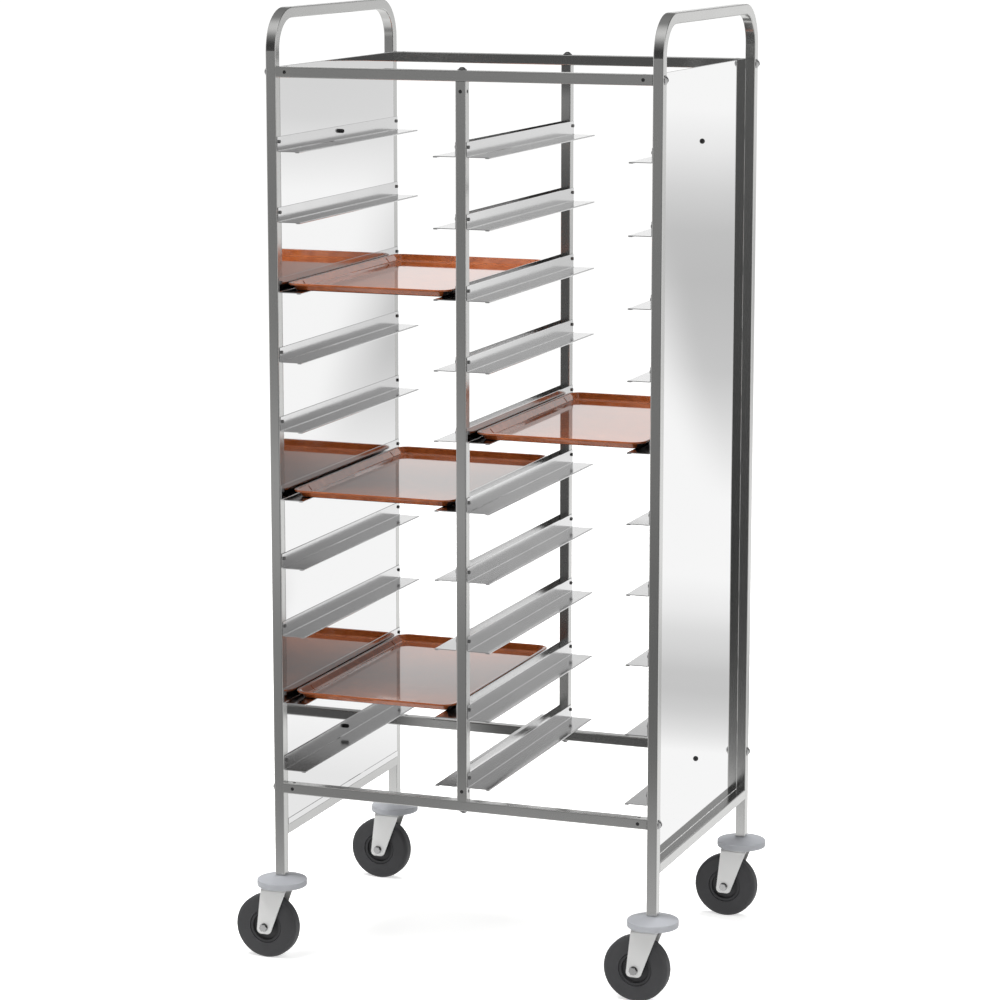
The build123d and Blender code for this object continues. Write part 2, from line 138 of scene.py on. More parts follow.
def sheetSteel(name, color, roughness, wave, depth, metallic=1.0):  # wave and depth are its unevenness
    # rolled or plated sheet: a clear or hazy image that bends a little with the sheet
    material, tree = startMaterial(name)
    coords = addNode(tree, "ShaderNodeTexCoord")
    uneven = addNode(tree, "ShaderNodeTexNoise", {},
                     {"Vector": coords.outputs["Object"], "Scale": 1 / wave,
                      "Detail": sheetSkin["waveDetail"]})
    haze = addNode(tree, "ShaderNodeTexNoise", {},
                   {"Vector": coords.outputs["Object"], "Scale": 1 / sheetSkin["haze"],
                    "Detail": sheetSkin["hazeDetail"]})
    rough = addNode(tree, "ShaderNodeMapRange", {},
                    {"Value": haze.outputs["Fac"], "To Min": roughness * sheetSkin["least"],
                     "To Max": roughness * sheetSkin["most"]})
    bump = addNode(tree, "ShaderNodeBump", {},
                   {"Height": uneven.outputs["Fac"], "Distance": depth, "Strength": 1.0})
    shader = addNode(tree, "ShaderNodeBsdfPrincipled", {},
                     {"Base Color": linearColor(color), "Metallic": metallic,
                      "Roughness": rough.outputs["Result"], "Normal": bump.outputs["Normal"]})
    endMaterial(tree, shader.outputs[0])
    return material


panelSteel = sheetSteel("mirror stainless sheet", "#f4f4f4", roughness=0.035, wave=350 * mm, depth=0.6 * mm)
stripSteel = sheetSteel("polished stainless strip", "#e6e6e6", roughness=0.15, wave=120 * mm, depth=0.1 * mm)
boltSteel = sheetSteel("bright stainless fixings", "#b9b9b9", roughness=0.25, wave=10 * mm, depth=0.0)
screwSteel = sheetSteel("dulled stainless screws", "#787878", roughness=0.35, wave=10 * mm, depth=0.0)
zincSteel = sheetSteel("bright zinc plate on pressed steel", "#e9e9e8", roughness=0.36, wave=30 * mm,
                       depth=0.04 * mm, metallic=0.5)  # half metallic, for a paler and more even grey
dress(stripSteel, "left_wall_runners", "centre_left_runners", "centre_right_runners", "right_wall_runners")
dress(boltSteel, "rail_bolts")
dress(screwSteel, "post_bolts", "runner_screws")
for corner in corners:
    for piece in ("caster_stem", "caster_fork", "axle_spacer", "swivel_bearing"):
        dress(zincSteel, f"{piece}_{corner}")
    dress(boltSteel, f"axle_bolt_{corner}")

mouldSkin = dict(cloud=40 * mm, cloudDetail=4.0, spread=0.06, grainDetail=1.0, grainStrength=0.6, ior=1.5)


def mouldedPlastic(name, color, shade, roughness, grain, depth):
    # moulded or pressed: an even colour with a faint cloud, and a matt grain drawn coarser than real to show
    material, tree = startMaterial(name)
    coords = addNode(tree, "ShaderNodeTexCoord")
    cloud = addNode(tree, "ShaderNodeTexNoise", {},
                    {"Vector": coords.outputs["Object"], "Scale": 1 / mouldSkin["cloud"],
                     "Detail": mouldSkin["cloudDetail"]})
    grit = addNode(tree, "ShaderNodeTexNoise", {},
                   {"Vector": coords.outputs["Object"], "Scale": 1 / grain,
                    "Detail": mouldSkin["grainDetail"]})
    tone = addNode(tree, "ShaderNodeMix", {"data_type": "RGBA"},
                   {"Factor": cloud.outputs["Fac"], "A": linearColor(color), "B": linearColor(shade)})
    rough = addNode(tree, "ShaderNodeMapRange", {},
                    {"Value": cloud.outputs["Fac"], "To Min": roughness - mouldSkin["spread"],
                     "To Max": roughness + mouldSkin["spread"]})
    bump = addNode(tree, "ShaderNodeBump", {},
                   {"Height": grit.outputs["Fac"], "Distance": depth,
                    "Strength": mouldSkin["grainStrength"]})
    shader = addNode(tree, "ShaderNodeBsdfPrincipled", {},
                     {"Base Color": tone.outputs["Result"], "Roughness": rough.outputs["Result"],
                      "IOR": mouldSkin["ior"], "Normal": bump.outputs["Normal"]})
    endMaterial(tree, shader.outputs[0])
    return material


darkNylon = mouldedPlastic("black nylon fixings", "#1c1c1d", "#262627",
                           roughness=0.45, grain=0.8 * mm, depth=0.02 * mm)
bumperRubber = mouldedPlastic("grey thermoplastic rubber", "#b3b5ba", "#a9abb0",
                              roughness=0.5, grain=0.9 * mm, depth=0.03 * mm)
hubPlastic = mouldedPlastic("black polypropylene hub", "#2f2f31", "#363638",
                            roughness=0.5, grain=0.9 * mm, depth=0.03 * mm)
tyreRubber = mouldedPlastic("grey solid rubber tyre", "#424244", "#3b3b3d",
                            roughness=0.6, grain=1.2 * mm, depth=0.05 * mm)
# painted shade: a near-black brown on the tray's bottom and outer side walls stands in for the shade under
# the tray
trayBackPaintedShade = mouldedPlastic("rough tray back, near black as painted shade", "#1d1512", "#271c17",
                           roughness=0.6, grain=1.2 * mm, depth=0.05 * mm)
dress(darkNylon, "tube_end_plugs", "leg_sockets", "panel_cap_nuts", "panel_screws")

laminate = dict(tones=[(0.3, "#8c451d"), (0.52, "#9d5229"), (0.75, "#ae6337")], mottle=26.3 * mm,
                mottleDetail=5.0, mottleRoughness=0.62, roughness=0.06, ior=1.55, coat=0.6,
                coatRoughness=0.03)


def trayLaminate(name):
    # pressed glass-fibre polyester: faintly mottled orange-brown under a clear gloss skin
    material, tree = startMaterial(name)
    coords = addNode(tree, "ShaderNodeTexCoord")
    mottle = addNode(tree, "ShaderNodeTexNoise", {},
                     {"Vector": coords.outputs["Object"], "Scale": 1 / laminate["mottle"],
                      "Detail": laminate["mottleDetail"], "Roughness": laminate["mottleRoughness"]})
    tone = addNode(tree, "ShaderNodeValToRGB", {}, {"Fac": mottle.outputs["Fac"]})
    setRamp(tone, [(place, linearColor(color)) for place, color in laminate["tones"]])
    shader = addNode(tree, "ShaderNodeBsdfPrincipled", {},
                     {"Base Color": tone.outputs["Color"], "Roughness": laminate["roughness"],
                      "IOR": laminate["ior"], "Coat Weight": laminate["coat"],
                      "Coat Roughness": laminate["coatRoughness"], "Coat IOR": laminate["ior"]})
    endMaterial(tree, shader.outputs[0])
    return material


trayBrown = trayLaminate("brown glass-fibre tray laminate")
print("materials made")

# Modelling helpers
# close is how near counts as the same place, facing how far a normal must point one way
meshing = dict(weld=0.000005, smoothAngle=35, close=1e-5, facing=0.9)


def clearSelection():
    if bpy.context.object and bpy.context.object.mode == "EDIT":
        bpy.ops.object.mode_set(mode="OBJECT")
    bpy.ops.object.select_all(action="DESELECT")


def pick(piece, kind, test):  # in edit mode, selects the items whose middle passes the test
    bpy.ops.mesh.select_mode(type=kind)
    bpy.ops.mesh.select_all(action="DESELECT")
    mesh = bmesh.from_edit_mesh(piece.data)
    for item in {"VERT": mesh.verts, "EDGE": mesh.edges, "FACE": mesh.faces}[kind]:
        points = [item.co] if kind == "VERT" else [v.co for v in item.verts]
        middle = sum(points, Vector()) / len(points)
        item.select_set(bool(test(item, middle)))
    mesh.select_flush_mode()
    bmesh.update_edit_mesh(piece.data)


def sizeNew(name, size):  # gives the shape just added its name and size, and opens it in edit mode
    piece = bpy.context.object
    piece.name = name
    piece.scale = size
    bpy.ops.object.transform_apply(location=True, rotation=True, scale=True)
    bpy.ops.object.mode_set(mode="EDIT")
    return piece


def startBlock(name, size, middle):
    clearSelection()
    bpy.ops.mesh.primitive_cube_add(size=1, location=middle)
    return sizeNew(name, size)


def startSection(name, x, yRange, zRange):  # a flat section in the plane at x
    clearSelection()
    middle = (x, sum(yRange) / 2, sum(zRange) / 2)
    bpy.ops.mesh.primitive_plane_add(size=1, location=middle, rotation=(0, math.pi / 2, 0))
    return sizeNew(name, (zRange[1] - zRange[0], yRange[1] - yRange[0], 1))


def cutAcross(point, normal, clearOuter=False):  # clearOuter takes off what lies on the normal's side
    bpy.ops.mesh.select_all(action="SELECT")
    bpy.ops.mesh.bisect(plane_co=point, plane_no=normal, clear_outer=clearOuter)


def mergeFaces():
    bpy.ops.mesh.select_all(action="SELECT")
    bpy.ops.mesh.dissolve_faces()


def bevelEdges(radius, segments):
    bpy.ops.mesh.bevel(offset=radius, segments=segments, affect="EDGES")


def roundCorners(piece, radius, segments, test=lambda item, middle: True):
    pick(piece, "VERT", test)
    bpy.ops.mesh.bevel(offset=radius, segments=segments, affect="VERTICES")


def turnSection(piece, middle, axis, steps):  # spins the section's outline into a closed body
    mergeFaces()
    bpy.ops.mesh.delete(type="ONLY_FACE")
    bpy.ops.mesh.select_all(action="SELECT")
    bpy.ops.mesh.spin(steps=steps, angle=2 * math.pi, center=middle, axis=axis)
    finishMesh(piece, meshing["smoothAngle"])


def finishMesh(piece, smoothAngle):
    bpy.ops.mesh.select_mode(type="VERT")
    bpy.ops.mesh.select_all(action="SELECT")
    bpy.ops.mesh.remove_doubles(threshold=meshing["weld"])
    bpy.ops.mesh.normals_make_consistent(inside=False)
    clearSelection()
    piece.select_set(True)
    bpy.context.view_layer.objects.active = piece
    bpy.ops.object.shade_smooth_by_angle(angle=math.radians(smoothAngle))
    bpy.ops.object.modifier_add(type="WEIGHTED_NORMAL")  # flats stay flat beside their rounded edges
    piece.modifiers[-1].keep_sharp = True
    bpy.ops.object.modifier_apply(modifier=piece.modifiers[-1].name)


def placeCopy(source, name, offset):
    clearSelection()
    source.select_set(True)
    bpy.context.view_layer.objects.active = source
    bpy.ops.object.duplicate()
    piece = bpy.context.object
    piece.name = name
    piece.location = offset
    bpy.ops.object.transform_apply(location=True, rotation=False, scale=False)
    return piece


def standFor(piece, node, body):
    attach(piece, body)
    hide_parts(node)


def boxOf(node):
    return (Vector(v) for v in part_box(node))


def camelWords(words):
    return "".join(word.title() for word in words)


# Side panels: a mirror sheet let down onto the side rail, with a rolled hem along its top and its foot
panel = dict(sheet=0.001, hem=0.011, clearance=0.0001, foldRound=0.0009, foldSteps=4)


def modelPanel(name, rail, out):  # out is the way its outer face looks along X
    low, high = boxOf(name)
    railLow, railHigh = boxOf(rail)
    foot = railHigh.z + panel["clearance"]
    outer = high.x if out > 0 else low.x
    width = railHigh.y - railLow.y - 2 * panel["clearance"]
    piece = startBlock(name.split("_")[0] + "MirrorPanel", (panel["sheet"], width, high.z - foot),
                       (outer - out * panel["sheet"] / 2, (railLow.y + railHigh.y) / 2, (high.z + foot) / 2))
    for level in (foot + panel["hem"], high.z - panel["hem"]):
        cutAcross((outer, 0, level), (0, 0, 1))
    pick(piece, "FACE", lambda item, middle: item.normal.x * out < -meshing["facing"]
         and not foot + panel["hem"] < middle.z < high.z - panel["hem"])
    bpy.ops.mesh.extrude_region_move(TRANSFORM_OT_translate={"value": (-out * panel["sheet"], 0, 0)})
    inner = outer - 2 * out * panel["sheet"]

    def onFold(item, middle):  # the two long edges along the top
        lengthwise = abs(item.verts[0].co.y - item.verts[1].co.y) > width / 2
        aside = min(abs(middle.x - outer), abs(middle.x - inner))
        return lengthwise and abs(middle.z - high.z) < meshing["close"] and aside < meshing["close"]

    pick(piece, "EDGE", onFold)
    bevelEdges(panel["foldRound"], panel["foldSteps"])
    finishMesh(piece, meshing["smoothAngle"])
    piece.data.materials.append(panelSteel)
    standFor(piece, name, "root")


modelPanel("left_side_panel", "left_bottom_rail", -1)
modelPanel("right_side_panel", "right_bottom_rail", 1)
print("panels modelled")


# Casters: tyre, hub and bumper are modelled at the front left and copied to every corner
def copyToCorners(source, name, node, body=None):  # without a body, the copies ride the frame
    home = Vector(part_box(f"{node}_{corners[0]}")[0])
    for corner in corners:
        offset = Vector(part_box(f"{node}_{corner}")[0]) - home
        piece = placeCopy(source, name + camelWords(corner.split("_")), offset)
        standFor(piece, f"{node}_{corner}", f"{body}_{corner}" if body else "root")
    bpy.data.objects.remove(source)


tyre = dict(bore=0.032, shoulder=0.0075, shoulderSteps=7, innerRound=0.0015, innerSteps=3, steps=128)


def modelTyre():
    low, high = boxOf("wheel_tyre_front_left")
    axle = (low + high) / 2
    inside = axle.z + tyre["bore"]
    halfway = (inside + high.z) / 2
    piece = startSection("tyreSection", axle.x, (low.y, high.y), (inside, high.z))
    roundCorners(piece, tyre["shoulder"], tyre["shoulderSteps"], lambda item, middle: middle.z > halfway)
    roundCorners(piece, tyre["innerRound"], tyre["innerSteps"],
                 lambda item, middle: middle.z < inside + meshing["close"])
    turnSection(piece, axle, (0, 1, 0), tyre["steps"])
    piece.data.materials.append(tyreRubber)
    copyToCorners(piece, "tyre", "wheel_tyre", "wheel")


hub = dict(bore=0.00605, boss=0.012, rimInner=0.0262, rimWidth=0.027, web=0.016, edgeRound=0.0012,
           edgeSteps=3, steps=96)


def modelHub():
    low, high = boxOf("wheel_hub_front_left")
    axle = (low + high) / 2
    outer = high.z - axle.z
    piece = startSection("hubSection", axle.x, (axle.y - hub["web"] / 2, axle.y + hub["web"] / 2),
                         (axle.z + hub["bore"], axle.z + outer))
    for radius in (hub["boss"], hub["rimInner"]):  # lines that part the boss, the web and the rim
        cutAcross((axle.x, axle.y, axle.z + radius), (0, 0, 1))
    bossMiddle = axle.z + (hub["bore"] + hub["boss"]) / 2
    rimMiddle = axle.z + (hub["rimInner"] + outer) / 2
    for side in (-1, 1):
        face = axle.y + side * hub["web"] / 2
        for middleZ, reach in ((bossMiddle, (high.y - low.y) / 2), (rimMiddle, hub["rimWidth"] / 2)):
            pick(piece, "EDGE", lambda item, middle: abs(middle.y - face) < meshing["close"]
                 and abs(middle.z - middleZ) < meshing["close"])
            bpy.ops.mesh.extrude_edges_move(
                TRANSFORM_OT_translate={"value": (0, side * (reach - hub["web"] / 2), 0)})
    mergeFaces()
    roundCorners(piece, hub["edgeRound"], hub["edgeSteps"])
    turnSection(piece, axle, (0, 1, 0), hub["steps"])
    piece.data.materials.append(hubPlastic)
    copyToCorners(piece, "hub", "wheel_hub", "wheel")


bumper = dict(bore=0.0056, flat=0.043, band=0.009, bevel=0.003, seat=0.0155, edgeRound=0.0012,
              edgeSteps=3, steps=128)


def modelBumper():
    low, high = boxOf("bumper_front_left")
    middle = (low + high) / 2
    rim = high.y - middle.y
    piece = startSection("bumperSection", middle.x, (middle.y + bumper["bore"], high.y), (low.z, high.z))
    topDrop = high.z - low.z - bumper["bevel"] - bumper["band"]
    cutAcross((middle.x, middle.y + bumper["seat"], high.z), (0, topDrop, rim - bumper["seat"]), True)
    cutAcross((middle.x, middle.y + bumper["flat"], low.z), (0, bumper["bevel"], bumper["flat"] - rim), True)
    mergeFaces()
    roundCorners(piece, bumper["edgeRound"], bumper["edgeSteps"],
                 lambda item, place: abs(place.y - high.y) < meshing["close"]
                 or abs(place.y - middle.y - bumper["flat"]) < meshing["close"])
    turnSection(piece, middle, (0, 0, 1), bumper["steps"])
    piece.data.materials.append(bumperRubber)
    copyToCorners(piece, "bumper", "bumper")


modelTyre()
modelHub()
modelBumper()
print("casters modelled")

# Trays: modelled once about the origin, with a rolled rim, stacking lugs and a rough back coloured near
# black as painted shade
tray = dict(corner=0.026, cornerSteps=10, lipHeight=0.0035, wallTop=0.006, wallFoot=0.017, gauge=0.002,
            underLip=0.0067, underFoot=0.015, lugInset=0.068, lugSize=(0.0105, 0.0016, 0.0016),
            smoothAngle=40, levelSlack=0.0003, insetSlack=0.0009, backFrom=0.0077, backTilt=-0.2,
            bottomBelow=0.001)
# radius and segments of each rounded line
trayRounds = dict(floor=(0.004, 4), back=(0.003, 3), mouth=(0.0016, 3), rim=(0.0012, 4), lip=(0.0007, 3))


def modelTray():
    low, high = boxOf(trayNames[0])
    size = high - low
    lipFoot = size.z - tray["lipHeight"]
    halfLip = tray["lipHeight"] / 2
    piece = startBlock("trayBlank", (size.x, size.y, tray["lipHeight"]), (0, 0, size.z - halfLip))
    pick(piece, "EDGE", lambda item, middle: abs(item.verts[0].co.z - item.verts[1].co.z) > halfLip)
    bevelEdges(tray["corner"], tray["cornerSteps"])

    def insetAt(place):  # distance in from the rim's outer edge
        endX = abs(place.x) - (size.x / 2 - tray["corner"])
        endY = abs(place.y) - (size.y / 2 - tray["corner"])
        if endX > 0 and endY > 0:
            return tray["corner"] - math.hypot(endX, endY)
        return tray["corner"] - max(endX, endY)

    def roundRing(level, inset, rounding):  # rounds the closed line of edges at one level and inset
        pick(piece, "EDGE", lambda item, middle: abs(insetAt(middle) - inset) < tray["insetSlack"]
             and all(abs(v.co.z - level) < tray["levelSlack"] for v in item.verts))
        bevelEdges(*trayRounds[rounding])

    pick(piece, "FACE", lambda item, middle: item.normal.z > meshing["facing"])
    bpy.ops.mesh.inset(thickness=tray["wallTop"])
    bpy.ops.mesh.inset(thickness=tray["wallFoot"] - tray["wallTop"], depth=tray["gauge"] - size.z)
    pick(piece, "FACE", lambda item, middle: item.normal.z < -meshing["facing"] and middle.z > lipFoot / 2)
    bpy.ops.mesh.inset(thickness=tray["underLip"])
    bpy.ops.mesh.inset(thickness=tray["underFoot"] - tray["underLip"], depth=lipFoot)
    roundRing(tray["gauge"], tray["wallFoot"], "floor")
    roundRing(0, tray["underFoot"], "back")
    roundRing(size.z, tray["wallTop"], "mouth")
    roundRing(size.z, 0, "rim")
    roundRing(lipFoot, 0, "lip")
    lugX = size.x / 2 - (tray["wallTop"] + tray["wallFoot"]) / 2
    lugY = size.y / 2 - tray["lugInset"]
    lugZ = (size.z + tray["gauge"]) / 2
    lean = math.atan2(size.z - tray["gauge"], tray["wallFoot"] - tray["wallTop"])
    for side in (-1, 1):
        for end in (-1, 1):
            bpy.ops.mesh.primitive_cube_add(size=1, location=(side * lugX, end * lugY, lugZ),
                                            rotation=(0, -side * lean, 0), scale=tray["lugSize"])
    finishMesh(piece, tray["smoothAngle"])
    for material in (trayBrown, trayBackPaintedShade):
        piece.data.materials.append(material)
    bpy.ops.object.mode_set(mode="EDIT")
    # painted shade: the near-black back covers the bottom and the outer faces of the two side walls, so that
    # the shelves mirror them dark, while the front and rear walls stay brown
    pick(piece, "FACE", lambda item, middle: item.normal.z < tray["backTilt"]
         and insetAt(middle) > tray["backFrom"]
         and (middle.z < tray["bottomBelow"] or abs(item.normal.x) > abs(item.normal.y)))
    piece.active_material_index = 1
    bpy.ops.object.material_slot_assign()
    clearSelection()
    for name in trayNames:
        boxLow, boxHigh = boxOf(name)
        copy = placeCopy(piece, "tray" + camelWords(name.split("_")[1:]) + "Laminate",
                         ((boxLow.x + boxHigh.x) / 2, (boxLow.y + boxHigh.y) / 2, boxLow.z))
        standFor(copy, name, name)
    bpy.data.objects.remove(piece)


modelTray()
print("trays modelled")

# Studio: the camera sees a pale floor and plain white, and metal mirrors tones that the camera doesn't see
studio = dict(floorSize=300.0, floorColor="#f6f6f5", glowNear=0.6, glowFar=0.74, glowSpan=(0.8, 5.0),
              ambient=0.35, backdrop=1.0, dimMiddle=-0.05, dimHalf=0.8, brightFrom=1.0, asideLevel=0.8)
white = [1, 1, 1, 1]


def brightAside(tree, slant, shade):  # a dim strip of studio straight ahead, brighter to either side of it
    off = addNode(tree, "ShaderNodeMath", {"operation": "SUBTRACT"},
                  {0: slant.outputs[0], 1: studio["dimMiddle"]})
    apart = addNode(tree, "ShaderNodeMath", {"operation": "ABSOLUTE"}, {0: off.outputs[0]})
    aside = addNode(tree, "ShaderNodeMapRange", {"interpolation_type": "SMOOTHSTEP"},
                    {"Value": apart.outputs[0], "From Min": studio["dimHalf"],
                     "From Max": studio["brightFrom"]})
    return addNode(tree, "ShaderNodeMix", {"data_type": "RGBA"},
                   {"Factor": aside.outputs["Result"], "A": shade, "B": [studio["asideLevel"]] * 3 + [1]})


# ramps run over the logarithm of the distance along Y, from the first to the last value of reachLog, and
# the other pairs are where one tone goes over to another
floorTone = dict(
    reachLog=(-0.3, 1.7), outside=(0.355, 0.395), leftward=(0.26, 0.34), rearward=(-0.9, -0.1),
    rightward=(0.1, 0.9), rightShade=0.35,
    nearBand=[(0.238, 1.0), (0.263, 0.81), (0.287, 0.67), (0.309, 0.6), (0.33, 0.606), (0.35, 0.7),
              (0.37, 0.765), (0.389, 0.89), (0.42, 1.0), (0.732, 1.0), (0.763, 0.89), (0.812, 0.735),
              (0.85, 0.72)],
    farBand=[(0.15, 0.86), (0.25, 1.0), (0.485, 1.0), (0.557, 0.725), (0.589, 0.61), (0.6215, 0.573),
             (0.665, 0.54), (0.707, 0.567), (0.745, 0.69), (0.785, 0.87), (0.83, 1.0)],
    frontRight=[(0.0, 0.58), (0.13, 0.52), (0.235, 0.4), (0.27, 0.22), (0.33, 0.175), (0.44, 0.165),
                (0.5, 0.22), (0.6, 0.23), (0.68, 0.27), (0.72, 0.32), (0.84, 0.34), (0.9, 0.47), (1.0, 0.5)],
    frontLeft=[(0.0, 0.56), (0.13, 0.46), (0.185, 0.34), (0.24, 0.27), (0.39, 0.28), (0.42, 0.35),
               (0.45, 0.5), (0.485, 0.56), (0.52, 0.52), (0.545, 0.43), (0.575, 0.31), (0.605, 0.22),
               (0.66, 0.25), (0.735, 0.21), (0.8, 0.27), (0.85, 0.36), (0.9, 0.42), (1.0, 0.45)])


def studioFloor():
    clearSelection()
    bpy.ops.mesh.primitive_plane_add(size=studio["floorSize"], location=(0, 0, 0))
    floor = bpy.context.object
    floor.name = "studioFloor"
    material, tree = startMaterial("pale studio floor")
    path = addNode(tree, "ShaderNodeLightPath")
    coords = addNode(tree, "ShaderNodeTexCoord")
    place = addNode(tree, "ShaderNodeSeparateXYZ", {}, {"Vector": coords.outputs["Object"]})
    reach = addNode(tree, "ShaderNodeMath", {"operation": "ABSOLUTE"}, {0: place.outputs["Y"]})
    reachLog = addNode(tree, "ShaderNodeMath", {"operation": "LOGARITHM"}, {0: reach.outputs[0], 1: 10.0})
    along = addNode(tree, "ShaderNodeMapRange", {},
                    {"Value": reachLog.outputs[0], "From Min": floorTone["reachLog"][0],
                     "From Max": floorTone["reachLog"][1]})
    slant = addNode(tree, "ShaderNodeMath", {"operation": "DIVIDE"},
                    {0: place.outputs["X"], 1: place.outputs["Y"]})
    band = {}
    for name in ("nearBand", "farBand", "frontRight", "frontLeft"):
        ramp = addNode(tree, "ShaderNodeValToRGB", {}, {"Fac": along.outputs["Result"]})
        setRamp(ramp, floorTone[name])
        band[name] = ramp.outputs["Color"]
    share = {}
    for name, source in (("outside", slant.outputs[0]), ("leftward", slant.outputs[0]),
                         ("rearward", place.outputs["Y"]), ("rightward", place.outputs["X"])):
        span = addNode(tree, "ShaderNodeMapRange", {"interpolation_type": "SMOOTHSTEP"},
                       {"Value": source, "From Min": floorTone[name][0], "From Max": floorTone[name][1]})
        share[name] = span.outputs["Result"]
    rightDim = addNode(tree, "ShaderNodeMapRange", {},
                       {"Value": share["rightward"], "To Min": 1.0, "To Max": floorTone["rightShade"]})
    # soft grey bands on the floor behind, a greyer floor ahead
    behindNear = addNode(tree, "ShaderNodeMix", {"data_type": "RGBA"},
                         {"Factor": share["outside"], "A": white, "B": band["nearBand"]})
    behindFar = addNode(tree, "ShaderNodeMix", {"data_type": "RGBA"},
                        {"Factor": share["outside"], "A": band["farBand"], "B": white})
    behind = addNode(tree, "ShaderNodeMix", {"data_type": "RGBA", "blend_type": "MULTIPLY"},
                     {"Factor": 1.0, "A": behindNear.outputs["Result"], "B": behindFar.outputs["Result"]})
    front = addNode(tree, "ShaderNodeMix", {"data_type": "RGBA"},
                    {"Factor": share["leftward"], "A": band["frontRight"], "B": band["frontLeft"]})
    frontShade = addNode(tree, "ShaderNodeMix", {"data_type": "RGBA", "blend_type": "MULTIPLY"},
                         {"Factor": 1.0, "A": front.outputs["Result"], "B": rightDim.outputs["Result"]})
    frontAll = brightAside(tree, slant, frontShade.outputs["Result"])
    tone = addNode(tree, "ShaderNodeMix", {"data_type": "RGBA"},
                   {"Factor": share["rearward"], "A": frontAll.outputs["Result"],
                    "B": behind.outputs["Result"]})
    matt = addNode(tree, "ShaderNodeBsdfDiffuse", {}, {"Color": linearColor(studio["floorColor"])})
    spread = addNode(tree, "ShaderNodeVectorMath", {"operation": "LENGTH"}, {0: coords.outputs["Object"]})
    glowLevel = addNode(tree, "ShaderNodeMapRange", {"interpolation_type": "SMOOTHSTEP"},
                        {"Value": spread.outputs["Value"], "From Min": studio["glowSpan"][0],
                         "From Max": studio["glowSpan"][1], "To Min": studio["glowNear"],
                         "To Max": studio["glowFar"]})
    glow = addNode(tree, "ShaderNodeEmission", {}, {"Strength": glowLevel.outputs["Result"]})
    seen = addNode(tree, "ShaderNodeAddShader", {}, {0: matt.outputs[0], 1: glow.outputs[0]})
    mirrored = addNode(tree, "ShaderNodeEmission", {}, {"Color": tone.outputs["Result"]})
    clear = addNode(tree, "ShaderNodeMath", {"operation": "MAXIMUM"},
                    {0: path.outputs["Is Glossy Ray"], 1: path.outputs["Is Transmission Ray"]})
    first = addNode(tree, "ShaderNodeMixShader", {},
                    {0: path.outputs["Is Camera Ray"], 1: matt.outputs[0], 2: seen.outputs[0]})
    last = addNode(tree, "ShaderNodeMixShader", {},
                   {0: clear.outputs[0], 1: first.outputs[0], 2: mirrored.outputs[0]})
    endMaterial(tree, last.outputs[0])
    floor.data.materials.append(material)


# a low white backdrop behind, with a dim studio and one lamp above it, a dark room ahead and light overhead
skyTone = dict(
    rightward=(-0.1, 0.2), rearward=(-0.3, 0.2),
    backLeft=("Z", [(0.0, 0.95), (0.23, 1.0), (0.25, 0.5), (0.28, 0.25), (0.5, 0.2), (0.9, 0.3)]),
    rightAcross=("X", [(0.3, 0.58), (0.36, 0.58), (0.4, 0.32), (0.43, 0.2), (0.6, 0.25), (0.8, 0.9)]),
    rightUp=("Z", [(0.0, 1.0), (0.24, 1.0), (0.28, 0.4), (0.9, 0.5)]),
    lampAcross=("X", [(0.02, 0.0), (0.1, 1.0), (0.21, 1.0), (0.27, 0.0)]),
    lampUp=("Z", [(0.25, 0.0), (0.3, 1.0), (0.42, 1.0), (0.48, 0.0)]),
    front=("Z", [(0.0, 0.2), (0.06, 0.05), (0.3, 0.06), (0.55, 0.25), (0.8, 0.8), (0.93, 1.0)]))


